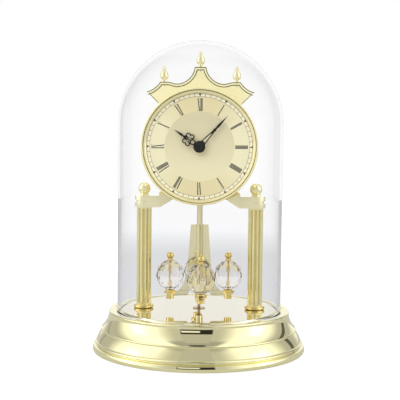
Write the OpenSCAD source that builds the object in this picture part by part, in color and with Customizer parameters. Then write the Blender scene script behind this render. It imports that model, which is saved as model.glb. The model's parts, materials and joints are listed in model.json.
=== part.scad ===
// Quartz anniversary clock under a glass dome, with a revolving four-ball pendulum.
// Frame: +Z up, the front faces -Y, and the origin is the centre of the base's underside.

/* [Base] */
// Radius of the base at its foot
base_r = 77; // [75:0.5:85]
// Height of the seat that the dome stands on
seat_z = 28.6; // [28.6:0.2:34]
// Radius of the mirror plate on top of the base
plate_r = 55.5; // [50:0.5:56]
// Thickness of the mirror plate
plate_t = 1; // [0.8:0.1:1.5]

/* [Dome] */
// Outer radius of the glass dome
dome_r = 59.4; // [59.2:0.1:60.2]
// Thickness of the glass
dome_t = 2; // [1.5:0.1:2]
// Height of the glass dome
dome_h = 194.7; // [194:0.1:210]

/* [Columns] */
// Distance from the clock's axis to each column's axis
column_x = 40.5; // [39:0.2:41]
// Radius of the fluted columns
column_r = 5.4; // [5:0.05:5.6]
// Number of flutes on each column
flutes = 10; // [8:1:12]
// Height of the columns above the mirror plate
column_h = 73.9; // [73:0.1:74.5]

/* [Dial] */
// Height of the dial's centre above the top of the columns
dial_rise = 44; // [43.8:0.1:44.6]
// Outer radius of the bezel
bezel_r = 41.3; // [41:0.1:42]
// Distance of the dial's face in front of the clock's axis
dial_front = 16; // [16:0.1:16.4]
// Minutes shown by the hands at rest
show_minute = 7; // [0:1:59]
// Hour shown by the hands at rest
show_hour = 10; // [0:1:11]

/* [Pendulum] */
// Distance from the pendulum's axis to each crystal ball
orb_ring_r = 21.2; // [20.8:0.1:22]
// Largest radius of a crystal ball
orb_r = 9.9; // [9:0.05:10.2]
// Height of a crystal ball
orb_h = 21.2; // [20:0.1:22]
// Angle of the pendulum at rest
pendulum_rest = 6; // [0:1:45]
// Width of the pendulum's arms
arm_w = 3; // [2.4:0.1:3.6]

/* [Hidden] */
$fn = 96;
eps = 0.01;
gap = 0.03;      // radial clearance of a fixed pin or screw in its hole
running = 0.07;  // radial clearance of a turning shaft in its bearing

brass = [0.86, 0.76, 0.42];
gold = [0.84, 0.62, 0.22];
steel = [0.72, 0.73, 0.75];
black = [0.08, 0.08, 0.08];

// Base heights
wall = 1.6;                      // wall of the base shell
rim_z = seat_z + 0.8;            // top of the rim around the dome
rim_in_r = dome_r + 1.6;         // inner radius of the rim
plate_z = seat_z + plate_t;      // top of the mirror plate
shell_foot_z = 0.3;              // the shell stands just clear of the table, on the felt
cover_z = 1.2;                   // underside of the base cover
cover_t = 2;
cover_r = base_r - 4.6;
boss_ring_r = 45;                // ring of the screws that hold the base cover
base_screw_r = 1.4;
socket_r = 2.4;                  // socket that takes the pendulum's guide pin

// Column heights
cap_z = plate_z + column_h;      // underside of the bridge's end caps
cap_h = 8.3;
cap_r = 6.9;
tie_r = 1.5;                     // M3 tie rod
dial_z = cap_z + dial_rise;      // height of the dial's centre
ball_r = 4.5;
ball_z = cap_z + cap_h + 5;

// Dial layers, measured forwards from the clock's axis
dial_t = 0.8;
dial_back = dial_front - dial_t;
dial_r = 39.5;
drum_r = 39.6;
drum_wall = 1.2;
drum_back = -5.2;
cover_plate_t = 1.2;
bezel_back = 13;
bezel_front = dial_front + 4;
saddle_r = drum_r + 2;
saddle_screw_r = 1;
saddle_screw_dir = 14;           // angle of the saddle's screws, to each side of straight down
pediment_screw_r = 0.8;
pediment_screw_dir = 26;         // angle of the pediment's screws, to each side of straight up
pediment_screw_z = 8;
finial_pin_r = 0.55;             // pin under each of the pediment's finials
cover_screw_r = 0.9;
cover_screw_ring = drum_r - 3.7;
cover_screw_dirs = [0, 90, 180];

// Movement case, in the dial's plane and in depth
case_w = 56;
case_top = 23;
case_bottom = -27;
case_wall = 1.2;
case_floor = 1.4;
case_back = -4;
case_split = 4.7;
case_front = dial_back - 1;
cell_r = 7.2;                    // AA cell
cell_len = 50;
cell_y = -18.2;
cell_z = case_split;

// Gear train: teeth, module and centres
train_mod = 0.25;
rotor_teeth = 10;
inter_teeth = 75;
inter_pinion_teeth = 10;
centre_teeth = 80;
cannon_teeth = 16;
motion_teeth = 48;
motion_pinion_teeth = 12;
hour_teeth = 48;
cannon_mod = 0.35;
motion_dist = cannon_mod * (cannon_teeth + motion_teeth) / 2;
hour_mod = 2 * motion_dist / (motion_pinion_teeth + hour_teeth);
inter_dist = train_mod * (inter_pinion_teeth + centre_teeth) / 2;
rotor_dist = train_mod * (rotor_teeth + inter_teeth) / 2;
inter_dir = 20;
rotor_dir = 75;
motion_dir = 135;
inter_at = inter_dist * [cos(inter_dir), sin(inter_dir)];
rotor_at = inter_at + rotor_dist * [cos(rotor_dir), sin(rotor_dir)];
motion_at = motion_dist * [cos(motion_dir), sin(motion_dir)];
arbor_r = 0.5;
centre_arbor_r = 1.05;
hour_tube_r = 1.95;
bush_r = 2.6;
stem_r = 0.7;

// Hands
minute_angle = show_minute * 6;
hour_angle = show_hour * 30 + show_minute / 2;
hour_hand_z = dial_front + 2.2;
minute_hand_z = dial_front + 3;
hand_t = 0.4;
minute_len = 29.9;
hour_len = 21.9;
hand_cap_r = 4.2;

// Pendulum heights
hub_r = 2.7;
hub_bottom_z = plate_z + 4.1;
arm_bottom_z = plate_z + 9.7;
arm_top_z = plate_z + 13.2;
tower_top_z = plate_z + 61.3;
rod_r = 2.05;
stirrup_r = 2.9;
drive_bottom_z = dial_z - 36;
drive_top_z = dial_z + case_bottom;
stirrup_top_z = drive_bottom_z - 1.7;
stirrup_bottom_z = stirrup_top_z - 5;
shaft_r = 0.9;
pin_r = 1;
orb_bottom_z = arm_top_z + 0.7;
orb_top_z = orb_bottom_z + orb_h;
orb_ball_r = 2.6;
orb_pin_r = 0.55;                // radius of the pin through each ball

// ---------- shared shapes ----------

function arc(c, r, a0, a1, n) = [for (i = [0:n]) let (a = a0 + (a1 - a0) * i / n) c + r * [cos(a), sin(a)]];

function flip_x(points) = [for (i = [len(points) - 1:-1:0]) [-points[i][0], points[i][1]]];

// Turns flat drawings to face the front, about the dial's centre: local +Z is forwards.
module on_dial() {
    translate([0, 0, dial_z]) rotate([90, 0, 0]) children();
}

module at_columns() {
    for (side = [-1, 1]) translate([side * column_x, 0, 0]) children();
}

module at_orbs() {
    for (k = [0:3]) rotate([0, 0, pendulum_rest + 90 * k]) translate([orb_ring_r, 0, 0]) children();
}

module at_base_screws() {
    for (k = [0:2]) rotate([0, 0, 90 + 120 * k]) translate([boss_ring_r, 0, 0]) children();
}

// The saddle's screws, with local +Z along each screw, out of the drum.
module at_saddle_screws() {
    for (side = [-1, 1]) on_dial() rotate([0, 0, -90 + side * saddle_screw_dir])
        rotate([0, 90, 0]) children();
}

// The pediment's screws, with local +Z along each screw, out of the drum.
module at_pediment_screws() {
    for (side = [-1, 1]) on_dial() rotate([0, 0, 90 + side * pediment_screw_dir])
        translate([0, 0, pediment_screw_z]) rotate([0, 90, 0]) children();
}

// The rear cover's screws, in the dial's frame.
module at_cover_screws() {
    for (a = cover_screw_dirs) rotate([0, 0, a]) translate([cover_screw_ring, 0, 0]) children();
}

module ring(outer, inner, h) {
    difference() {
        cylinder(r = outer, h = h);
        translate([0, 0, -1]) cylinder(r = inner, h = h + 2);
    }
}

module rounded_box(x0, x1, y0, y1, h, r) {
    translate([x0 + r, y0, 0]) cube([x1 - x0 - 2 * r, y1 - y0, h]);
    translate([x0, y0 + r, 0]) cube([x1 - x0, y1 - y0 - 2 * r, h]);
    for (x = [x0 + r, x1 - r], y = [y0 + r, y1 - r]) translate([x, y, 0]) cylinder(r = r, h = h);
}

// A gear's outline: straight-flanked teeth, thinner than their gaps so that they run with backlash.
module gear_outline(teeth, mod, phase) {
    r = teeth * mod / 2;
    root = r - 1.15 * mod;
    tip = r + 0.85 * mod;
    pitch = 360 / teeth;
    corners = [[root, -0.28], [tip, -0.1], [tip, 0.1], [root, 0.28]];
    polygon([for (i = [0:teeth - 1], c = corners)
        let (a = phase + pitch * (i + c[1])) c[0] * [cos(a), sin(a)]]);
}

module gear(teeth, mod, z0, z1, phase) {
    translate([0, 0, z0]) linear_extrude(z1 - z0) gear_outline(teeth, mod, phase);
}

module shaft(r, z0, z1) {
    translate([0, 0, z0]) cylinder(r = r, h = z1 - z0);
}

// ---------- base ----------

// Outer moulding of the base, from the rim's inner edge down to the foot.
function base_moulding() = concat(
    [[rim_in_r, seat_z], [rim_in_r, rim_z - 0.3], [rim_in_r + 0.3, rim_z]],
    arc([base_r - 12.5, rim_z - 1.1], 1.1, 90, -30, 8),
    arc([base_r + 6.3, rim_z - 0.3], 18, 185, 224.3, 12),
    arc([base_r - 6.9, rim_z - 13.6], 0.8, 50, -60, 6),
    arc([base_r - 31.6, rim_z - 32.6], 31, 36, 21, 8),
    arc([base_r - 3.3, shell_foot_z + 5.7], 1.5, 70, -50, 8),
    arc([base_r - 12, shell_foot_z + 0.6], 12, 17, 0, 6),
    [[base_r - 0.4, shell_foot_z]]
);

module base_shell() {
    outer = base_moulding();
    inside = [
        [base_r - 4.4, shell_foot_z], [base_r - 4.4, 6.5], [base_r - 7.4, 14], [base_r - 10.2, 18],
        [base_r - 13.4, rim_z - 7], [base_r - 15.2, rim_z - 5],
        [base_r - 17, seat_z - wall], [0, seat_z - wall]
    ];
    color(brass) difference() {
        union() {
            rotate_extrude() polygon(concat([[0, seat_z]], outer, inside));
            at_base_screws() shaft(3.4, cover_z + cover_t, seat_z - wall + eps);
        }
        at_columns() shaft(tie_r + gap, seat_z - 10, seat_z + 1);
        shaft(socket_r + gap, seat_z - 10, seat_z + 1);
        at_base_screws() shaft(base_screw_r + gap, 0, 14);
    }
}

module base_cover() {
    color([0.16, 0.13, 0.1]) difference() {
        shaft(cover_r - gap, cover_z, cover_z + cover_t);
        at_base_screws() {
            shaft(base_screw_r + gap, 0, 10);
            shaft(2.8, 0, cover_z + 1);
        }
    }
}

module felt_ring() {
    color([0.1, 0.22, 0.14]) ring(cover_r - 0.4, 50, cover_z);
}

module base_screws() {
    color(steel) at_base_screws() difference() {
        union() {
            shaft(2.6, cover_z - 0.7, cover_z + 1);
            shaft(base_screw_r, cover_z + 0.5, 12);
        }
        translate([-2, -0.3, cover_z - 1]) cube([4, 0.6, 0.9]);
    }
}

module mirror_plate() {
    color([0.93, 0.88, 0.68]) difference() {
        shaft(plate_r, seat_z, plate_z);
        at_columns() shaft(tie_r + gap, seat_z - 1, plate_z + 1);
        shaft(socket_r + gap, seat_z - 1, plate_z + 1);
    }
}

// Flanged socket that keeps the pendulum's guide pin centred.
module guide_bush() {
    color(gold) difference() {
        union() {
            shaft(4.4, plate_z, plate_z + 0.5);
            shaft(socket_r, seat_z - 5, plate_z + 0.1);
        }
        shaft(pin_r + running, seat_z - 4, plate_z + 1);
    }
}

// ---------- columns ----------

module column() {
    flute_r = 1.3;
    color(brass) difference() {
        shaft(column_r, plate_z, cap_z);
        shaft(tie_r + 0.1, plate_z - 1, cap_z + 1);
        for (k = [0:flutes - 1]) rotate([0, 0, 360 * (k + 0.5) / flutes])
            translate([column_r + 0.55, 0, 0]) shaft(flute_r, plate_z + 3.2, cap_z - 1.2);
    }
}

module column_left() { translate([-column_x, 0, 0]) column(); }
module column_right() { translate([column_x, 0, 0]) column(); }

module column_collars() {
    bead_r = 1.3;
    color(gold) at_columns() difference() {
        translate([0, 0, plate_z + bead_r]) rotate_extrude()
            translate([column_r + 0.65, 0]) circle(r = bead_r);
        shaft(column_r + gap, plate_z - 1, plate_z + 4);
    }
}

module column_finials() {
    color(brass) at_columns() difference() {
        union() {
            translate([0, 0, ball_z]) sphere(r = ball_r);
            shaft(2.7, cap_z + cap_h, ball_z - 2);
            shaft(3.5, cap_z + cap_h, cap_z + cap_h + 0.6);
        }
        shaft(tie_r + gap, cap_z, ball_z + 0.5);
    }
}

module tie_rods() {
    color(steel) at_columns() shaft(tie_r, seat_z - 6, ball_z);
}

module tie_rod_washers() {
    color(steel) at_columns() translate([0, 0, seat_z - wall - 0.5]) ring(3.6, tie_r + gap, 0.5);
}

module tie_rod_nuts() {
    color(steel) at_columns() translate([0, 0, seat_z - wall - 2.9]) difference() {
        cylinder(r = 3.1, h = 2.4, $fn = 6);
        translate([0, 0, -1]) cylinder(r = tie_r + gap, h = 5);
    }
}

// ---------- bridge ----------

arm_in_x = 29;       // where the bridge's straight end block turns inwards
saddle_half = 33;    // half angle of the saddle under the drum
saddle_depth = 11;   // front-to-back length of the saddle

// One sloping arm, from the end block to the saddle.
module bridge_arm() {
    hull() {
        translate([arm_in_x - 0.5, -cap_r, cap_z]) cube([0.6, 2 * cap_r - 2, cap_h + 2.6]);
        translate([17.6, -4, dial_z - 37.2]) cube([1, 7.6, 9]);
    }
}

module bridge() {
    saddle_in_r = drum_r - 0.6;
    color(brass) difference() {
        union() {
            for (side = [-1, 1]) scale([side, 1, 1]) {
                translate([column_x, 0, 0]) {
                    shaft(cap_r, cap_z, cap_z + 3.2);
                    shaft(cap_r - 1, cap_z + 3, cap_z + cap_h - 3);
                    shaft(cap_r, cap_z + cap_h - 3.2, cap_z + cap_h);
                }
                translate([arm_in_x, -cap_r, cap_z]) cube([column_x - arm_in_x - 1.6, 2 * cap_r, cap_h]);
                bridge_arm();
            }
            on_dial() rotate([0, 0, -90 - saddle_half]) translate([0, 0, -5])
                rotate_extrude(angle = 2 * saddle_half)
                    translate([saddle_in_r, 0]) square([saddle_r - saddle_in_r, saddle_depth]);
        }
        on_dial() shaft(drum_r + gap, -20, 20);
        at_columns() shaft(tie_r + gap, cap_z - 1, cap_z + cap_h + 1);
        shaft(stirrup_r + 0.8, cap_z - 10, cap_z + 20);
        at_saddle_screws() shaft(saddle_screw_r + gap, drum_r - 1, saddle_r + 4);
    }
}

module bridge_screws() {
    color(steel) at_saddle_screws() {
        shaft(saddle_screw_r, drum_r - 2.2, saddle_r + 0.2);
        shaft(1.8, saddle_r + 0.02, saddle_r + 1);
    }
}

// ---------- drum, bezel and dial ----------

module movement_drum() {
    color(brass) difference() {
        on_dial() translate([0, 0, drum_back]) ring(drum_r, drum_r - drum_wall, dial_back - drum_back);
        shaft(stirrup_r + 0.8, dial_z - 60, dial_z - 30);
        at_saddle_screws() shaft(saddle_screw_r + gap, drum_r - 4, drum_r + 1);
        at_pediment_screws() shaft(pediment_screw_r + gap, drum_r - 4, drum_r + 1);
    }
}

door_half_w = 24;
door_top = cell_y + 7.8;
door_bottom = cell_y - 7.4;
knob_hole_r = 6;

module rear_cover() {
    color(brass) on_dial() difference() {
        union() {
            shaft(drum_r, drum_back - cover_plate_t, drum_back);
            translate([0, 0, drum_back - eps]) ring(drum_r - drum_wall - gap, drum_r - drum_wall - 0.6, 2);
            at_cover_screws() shaft(1.6, drum_back - 0.1, drum_back + 2);
        }
        translate([-door_half_w - 0.1, door_bottom - 0.1, drum_back - 5])
            cube([2 * door_half_w + 0.2, door_top - door_bottom + 0.2, 10]);
        translate([motion_at[0], motion_at[1], 0]) shaft(knob_hole_r, drum_back - 5, drum_back + 5);
        translate([-drive_half_w - 0.6, -drum_r, drum_back]) cube([2 * drive_half_w + 1.2, 8, 5]);
        at_cover_screws() shaft(cover_screw_r + gap, drum_back - 5, drum_back + 5);
    }
}

module rear_cover_screws() {
    color(steel) on_dial() at_cover_screws() {
        shaft(cover_screw_r, drum_back - cover_plate_t - 0.1, drum_back + 1.8);
        shaft(1.7, drum_back - cover_plate_t - 0.9, drum_back - cover_plate_t - 0.02);
    }
}

// Lid over the cell, pulled off backwards by its two finger ribs.
module battery_door() {
    rib_t = 0.8;
    middle_y = (door_top + door_bottom) / 2;
    color(brass) on_dial() {
        translate([-door_half_w, door_bottom, drum_back - cover_plate_t])
            cube([2 * door_half_w, door_top - door_bottom, cover_plate_t]);
        for (k = [-1:1]) translate([-5, middle_y + 2 * k - rib_t / 2, drum_back - cover_plate_t - 0.6])
            cube([10, rib_t, 0.7]);
    }
}

module bezel() {
    profile = concat(
        [[drum_r + gap, bezel_back], [drum_r + gap, dial_front], [37.7, dial_front],
         [37.7, dial_front + 0.35], [38.2, dial_front + 0.8], [39.65, dial_front + 1.5],
         [39.75, dial_front + 0.9], [40.05, dial_front + 0.9]],
        arc([bezel_r - 0.6, bezel_front - 0.6], 0.6, 160, 0, 8),
        [[bezel_r, bezel_back + 1.6], [bezel_r - 0.5, bezel_back]]
    );
    color(brass) on_dial() rotate_extrude() polygon(profile);
}

module dial() {
    chapter_r = 24.7;
    color([0.91, 0.86, 0.64]) on_dial() difference() {
        shaft(dial_r, dial_back, dial_front);
        shaft(bush_r + gap, dial_back - 1, dial_front + 1);
        translate([0, 0, dial_front - 0.12]) cylinder(r = chapter_r, h = 1);
    }
}

// ---------- pediment ----------

crest = 56.1;         // height of the pediment's crest above the dial's centre
shoulder_y = 45.55;   // height of its shoulders
tip = [38, 38.5];   // its outer points

// Right half of the pediment's top edge, from the crest to the outer point.
function pediment_edge() = let (sweep_r = 13.15, dip = crest + 1.3 - sweep_r) concat(
    [[4.05, crest]],
    arc([17.2, crest + 1.3], sweep_r, 186, 266, 14),
    [for (i = [1:6]) [16.3 + 6.8 * i / 6, dip + (shoulder_y - dip) * (1 - cos(30 * i)) / 2]],
    [[28.4, shoulder_y]],
    arc([42.4, shoulder_y + 8.8], 16.5, 214, 255, 8),
    [tip]
);

module pediment_field(inset) {
    edge = pediment_edge();
    below = [[60, 38.6], [60, 0], [-60, 0], [-60, 38.6]];
    offset(delta = -inset) polygon(concat(flip_x(edge), edge, below));
}

module pediment_outline() {
    reach = 60;
    difference() {
        intersection() {
            pediment_field(0);
            polygon([[tip[0], tip[1] + eps], [tip[0] - 38, 0], [-(tip[0] - 38), 0], [-tip[0], tip[1] + eps],
                     [-tip[0], reach], [tip[0], reach]]);
        }
        circle(r = drum_r + 0.1);
    }
}

pediment_back = bezel_back - 2.1;
finial_x = 25.6;

// Feet of the finials, with local +Z upwards.
module at_finials() {
    on_dial() for (x = [-finial_x, 0, finial_x])
        translate([x, x == 0 ? crest : shoulder_y, pediment_back + 1]) rotate([-90, 0, 0]) children();
}

module pediment() {
    lug_half = 5;   // half angle of the lug that each screw goes through
    color(brass) difference() {
        on_dial() {
            translate([0, 0, pediment_back]) linear_extrude(1.5) pediment_outline();
            translate([0, 0, pediment_back + 1.4]) linear_extrude(0.7) difference() {
                pediment_outline();
                pediment_field(1.8);
            }
            for (side = [-1, 1]) rotate([0, 0, 90 + side * pediment_screw_dir - lug_half])
                translate([0, 0, 5]) rotate_extrude(angle = 2 * lug_half)
                    translate([drum_r + 0.1, 0]) square([1.4, pediment_back - 4.9]);
        }
        at_pediment_screws() shaft(pediment_screw_r + gap, drum_r - 4, drum_r + 5);
        at_finials() shaft(finial_pin_r + gap, -3, 5);
    }
}

module pediment_screws() {
    color(steel) at_pediment_screws() {
        shaft(pediment_screw_r, drum_r - 2, drum_r + 1.7);
        shaft(1.5, drum_r + 1.52, drum_r + 2.3);
    }
}

// Turned finial with an urn, a waist and a small ball on top.
module urn_finial(h) {
    profile = concat(
        [[0, -2.8], [finial_pin_r, -2.8], [finial_pin_r, 0], [1.9, 0], [1.9, 0.5], [1.35, 0.9]],
        [[1.35, h * 0.14]],
        arc([0.3, h * 0.36], 2.7, -52, 20, 7),
        arc([0.1, h * 0.47], 2.75, 0, 52, 5),
        [[0.75, h * 0.7]],
        arc([0, h * 0.82], 1.45, -58, 40, 7),
        [[0.7, h * 0.95], [0.35, h], [0, h]]
    );
    rotate_extrude() polygon(profile);
}

module pediment_finials() {
    color(brass) at_finials() urn_finial(11.2);
}

// ---------- quartz movement ----------

module case_slab(z0, z1, inset) {
    half_w = case_w / 2 - inset;
    translate([0, 0, z0])
        rounded_box(-half_w, half_w, case_bottom + inset, case_top - inset, z1 - z0, 3 - inset);
}

module movement_front_case() {
    color(black) on_dial() difference() {
        case_slab(case_split, case_front, 0);
        case_slab(case_split - 1, case_front - case_floor, case_wall);
        shaft(bush_r + gap, 0, 20);
        for (p = [inter_at, rotor_at, motion_at]) translate([p[0], p[1], 0])
            shaft(arbor_r + 0.05, 0, case_front - case_floor + 0.8);
    }
}

module movement_back_case() {
    color(black) on_dial() difference() {
        case_slab(case_back, case_split, 0);
        case_slab(case_back + case_floor, case_split + 1, case_wall);
        translate([-26, cell_y - 7.4, case_back - 1]) cube([52, 14.9, 3]);
        for (p = [inter_at, rotor_at, [0, 0]]) translate([p[0], p[1], 0])
            shaft(arbor_r + 0.05, case_back + 0.5, 0);
        translate([motion_at[0], motion_at[1], 0]) shaft(stem_r + running, case_back - 1, 0);
    }
}

// Brass bush that carries the hour tube and clamps the dial.
module mounting_bush() {
    color(gold) on_dial() difference() {
        union() {
            shaft(bush_r, case_front - case_floor, dial_front + 1.5);
            shaft(3.8, case_front - case_floor - 0.6, case_front - case_floor);
        }
        shaft(hour_tube_r + running, 0, 30);
    }
}

module mounting_nut() {
    color(gold) on_dial() translate([0, 0, dial_front - 0.12]) difference() {
        cylinder(r = 4.1, h = 1.4, $fn = 6);
        translate([0, 0, -1]) cylinder(r = bush_r + gap, h = 4);
    }
}

module mounting_washer() {
    color(black) on_dial() translate([0, 0, case_front]) ring(9, bush_r + gap, dial_back - case_front);
}

module along_cell() {
    on_dial() translate([0, cell_y, cell_z]) rotate([0, 90, 0]) children();
}

module battery() {
    color([0.25, 0.3, 0.36]) along_cell() {
        shaft(cell_r, -cell_len / 2, cell_len / 2 - 1.4);
        shaft(2.7, cell_len / 2 - 1.5, cell_len / 2);
    }
}

module battery_spring_contact() {
    foot = -case_w / 2 + case_wall;
    color(steel) along_cell() {
        translate([-5, -5, foot]) cube([10, 10, 0.4]);
        for (k = [0:2]) shaft(3.6 - k, foot + 0.3 + 0.4 * k, foot + 0.75 + 0.4 * k);
        shaft(0.8, foot + 1.4, -cell_len / 2);
    }
}

module battery_plate_contact() {
    color(steel) along_cell() {
        translate([-5, -5, case_w / 2 - case_wall - 0.4]) cube([10, 10, 0.4]);
        shaft(2, cell_len / 2, case_w / 2 - case_wall - 0.3);
    }
}

board_at = [-26.2, -8.5];
board_back = case_back + case_floor;
board_t = 0.8;

module circuit_board() {
    color([0.1, 0.4, 0.2]) on_dial()
        translate([board_at[0], board_at[1], board_back]) cube([16, 14, board_t]);
}

module driver_chip() {
    color(black) on_dial() translate([board_at[0] + 10, board_at[1] + 7, board_back + board_t])
        cylinder(r = 2.6, h = 0.9);
}

module quartz_crystal() {
    color(steel) on_dial() translate([board_at[0] + 3.2, board_at[1] + 3, board_back + board_t + 1])
        rotate([-90, 0, 0]) cylinder(r = 1, h = 6.2);
}

stator_z = 4.2;
coil_x = [-12, 8.4];
coil_y = 19;

module stator() {
    color(steel) on_dial() translate([0, 0, stator_z]) difference() {
        union() {
            translate([-15, 10.6, 0]) cube([32, 5.4, 1]);
            translate([-15, 15.9, 0]) cube([2.8, 4.6, 1]);
            translate([8.6, 15.9, 0]) cube([3, 4.6, 1]);
            translate([-12.4, coil_y - 1.1, 0]) cube([21.2, 2.2, 1]);
        }
        translate([rotor_at[0], rotor_at[1], -1]) cylinder(r = 2.6, h = 3);
        translate([motion_at[0], motion_at[1], -1]) cylinder(r = stem_r + 0.4, h = 3);
    }
}

module motor_coil() {
    coil_len = coil_x[1] - coil_x[0];
    color([0.62, 0.3, 0.12]) on_dial() difference() {
        translate([coil_x[0], coil_y, stator_z + 0.5]) rotate([0, 90, 0]) cylinder(r = 2.4, h = coil_len);
        translate([coil_x[0] - 1, coil_y - 1.15, stator_z - 0.05]) cube([coil_len + 2, 2.3, 1.1]);
    }
}

// ---------- gear train ----------

arbor_back = case_back + 0.6;
arbor_front = case_front - case_floor + 0.7;

module rotor() {
    color([0.3, 0.3, 0.33]) on_dial() translate([rotor_at[0], rotor_at[1], 0]) {
        shaft(arbor_r, arbor_back, arbor_front);
        shaft(2.2, 3.6, 5.8);
        gear(rotor_teeth, train_mod, 6.2, 7.6, rotor_dir + 180);
    }
}

module intermediate_wheel() {
    color([0.92, 0.92, 0.86]) on_dial() translate([inter_at[0], inter_at[1], 0]) {
        shaft(arbor_r, arbor_back, arbor_front);
        gear(inter_teeth, train_mod, 6.5, 7.3, rotor_dir + 180 / inter_teeth);
        gear(inter_pinion_teeth, train_mod, 7.2, 9.3, inter_dir + 180);
    }
}

// Centre wheel, cannon pinion and the arbor that carries the minute hand.
module centre_wheel() {
    color([0.92, 0.92, 0.86]) on_dial() {
        shaft(arbor_r, arbor_back, 6);
        shaft(centre_arbor_r, 5, minute_hand_z + hand_t);
        gear(centre_teeth, train_mod, 8.2, 9, inter_dir + 180 / centre_teeth);
        shaft(1.9, 8.9, 9.5);
        gear(cannon_teeth, cannon_mod, 9.4, 10.8, motion_dir);
    }
}

// Motion-work wheel and pinion, on the stem that the set knob turns.
module motion_wheel() {
    color([0.92, 0.92, 0.86]) on_dial() translate([motion_at[0], motion_at[1], 0]) {
        shaft(arbor_r, 11, arbor_front);
        shaft(stem_r, drum_back - 1.4, 11.5);
        gear(motion_teeth, cannon_mod, 9.6, 10.4, motion_dir + 180 + 180 / motion_teeth);
        gear(motion_pinion_teeth, hour_mod, 10.3, 12.1, motion_dir + 180);
    }
}

module set_knob() {
    knob_r = 4.9;
    color(black) on_dial() translate([motion_at[0], motion_at[1], 0]) difference() {
        union() {
            shaft(knob_r, drum_back - 3.6, case_back - 0.3);
            for (k = [0:11]) rotate([0, 0, 30 * k]) translate([knob_r, 0, 0])
                shaft(0.4, drum_back - 3.6, drum_back - 1.6);
        }
        shaft(stem_r + gap, drum_back - 1.4, case_back + 1);
        for (a = [0, 90]) rotate([0, 0, a]) translate([-3, -0.4, drum_back - 4]) cube([6, 0.8, 0.9]);
    }
}

module hour_wheel() {
    color([0.92, 0.92, 0.86]) on_dial() difference() {
        union() {
            gear(hour_teeth, hour_mod, 11.1, 11.9, motion_dir + 180 / hour_teeth);
            shaft(hour_tube_r, 11, hour_hand_z + hand_t);
        }
        shaft(centre_arbor_r + running, 0, 30);
    }
}

// ---------- hands ----------

// A pierced, bean-shaped loop beside the hour hand's stem.
module hand_loop(rim) {
    near = [2.9, 8.2];
    far = [2.4, 11];
    difference() {
        union() {
            translate(near) circle(r = 1.8);
            translate(far) circle(r = 1.8);
        }
        hull() {
            translate(near) circle(r = 1.8 - rim);
            translate([1.9, 9.6]) circle(r = 0.5);
        }
        hull() {
            translate(far) circle(r = 1.8 - rim);
            translate([1.9, 9.6]) circle(r = 0.5);
        }
    }
}

module hour_hand() {
    rim = 0.8;
    color(black) on_dial() translate([0, 0, hour_hand_z])
        rotate([0, 0, -hour_angle]) linear_extrude(hand_t) {
        difference() {
            circle(r = 3.9);
            circle(r = hour_tube_r + gap);
        }
        difference() {
            translate([0, 5.7]) circle(r = 2.1);
            translate([0, 5.8]) circle(r = 2.1 - rim);
            circle(r = 3);
        }
        for (side = [0, 1]) mirror([side, 0, 0]) hand_loop(rim);
        translate([-0.45, 7]) square([0.9, 4.5]);
        polygon([[-0.5, 11], [0.5, 11], [1.3, 12.6], [0.5, 13.6], [0.95, 15.4], [0.6, 17.6], [0, hour_len],
                 [-0.6, 17.6], [-0.95, 15.4], [-0.5, 13.6], [-1.3, 12.6]]);
    }
}

module minute_hand() {
    bead_y = 16;
    color(black) on_dial() translate([0, 0, minute_hand_z])
        rotate([0, 0, -minute_angle]) linear_extrude(hand_t) {
        difference() {
            union() {
                circle(r = 3.9);
                polygon([[-2, 2.6], [2, 2.6], [0.75, bead_y], [-0.75, bead_y]]);
            }
            polygon([[-1.15, 4.8], [1.15, 4.8], [0.2, bead_y - 3.4], [-0.2, bead_y - 3.4]]);
            circle(r = centre_arbor_r + gap);
        }
        translate([0, bead_y]) circle(r = 1.15);
        polygon([[-0.6, bead_y], [0.6, bead_y], [0.95, bead_y + 4.2], [0.55, bead_y + 8], [0, minute_len],
                 [-0.55, bead_y + 8], [-0.95, bead_y + 4.2]]);
    }
}

module hand_cap() {
    color(black) on_dial() shaft(hand_cap_r, minute_hand_z + hand_t, minute_hand_z + hand_t + 0.9);
}

// ---------- pendulum drive ----------

drive_half_w = 12;
drive_y = [-13, 4.8];
drive_wall = 1;

module pendulum_drive_case() {
    color(black) difference() {
        translate([-drive_half_w, drive_y[0], drive_bottom_z])
            cube([2 * drive_half_w, drive_y[1] - drive_y[0], drive_top_z - drive_bottom_z]);
        translate([-drive_half_w + drive_wall, drive_y[0] + drive_wall, drive_bottom_z + drive_wall])
            cube([2 * (drive_half_w - drive_wall), drive_y[1] - drive_y[0] - 2 * drive_wall,
                  drive_top_z - drive_bottom_z - 2 * drive_wall]);
        shaft(2.2 + gap, drive_bottom_z - 1, drive_bottom_z + 2);
    }
}

module pendulum_coil() {
    color([0.62, 0.3, 0.12]) translate([0, 0, drive_bottom_z + drive_wall]) ring(3.7, 2.6, 2.6);
}

module pendulum_bearing() {
    color(gold) translate([0, 0, drive_bottom_z - 0.4]) difference() {
        cylinder(r = 2.2, h = 1.9);
        translate([0, 0, -1]) cylinder(r = shaft_r + running, h = 4);
    }
}

// Driven shaft with a thrust collar above its bearing and a hanger bar below it.
module pendulum_shaft() {
    color(steel) {
        shaft(shaft_r, stirrup_top_z - 1.8, drive_bottom_z + 6.6);
        shaft(1.7, drive_bottom_z + 1.52, drive_bottom_z + 2.4);
        rotate([0, 0, pendulum_rest]) translate([-2, -1, stirrup_top_z - 2.2]) cube([4, 2, 1]);
    }
}

module pendulum_magnet() {
    color([0.35, 0.35, 0.37]) translate([0, 0, drive_bottom_z + 4]) ring(3.6, shaft_r + gap, 2);
}

// ---------- pendulum ----------

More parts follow.
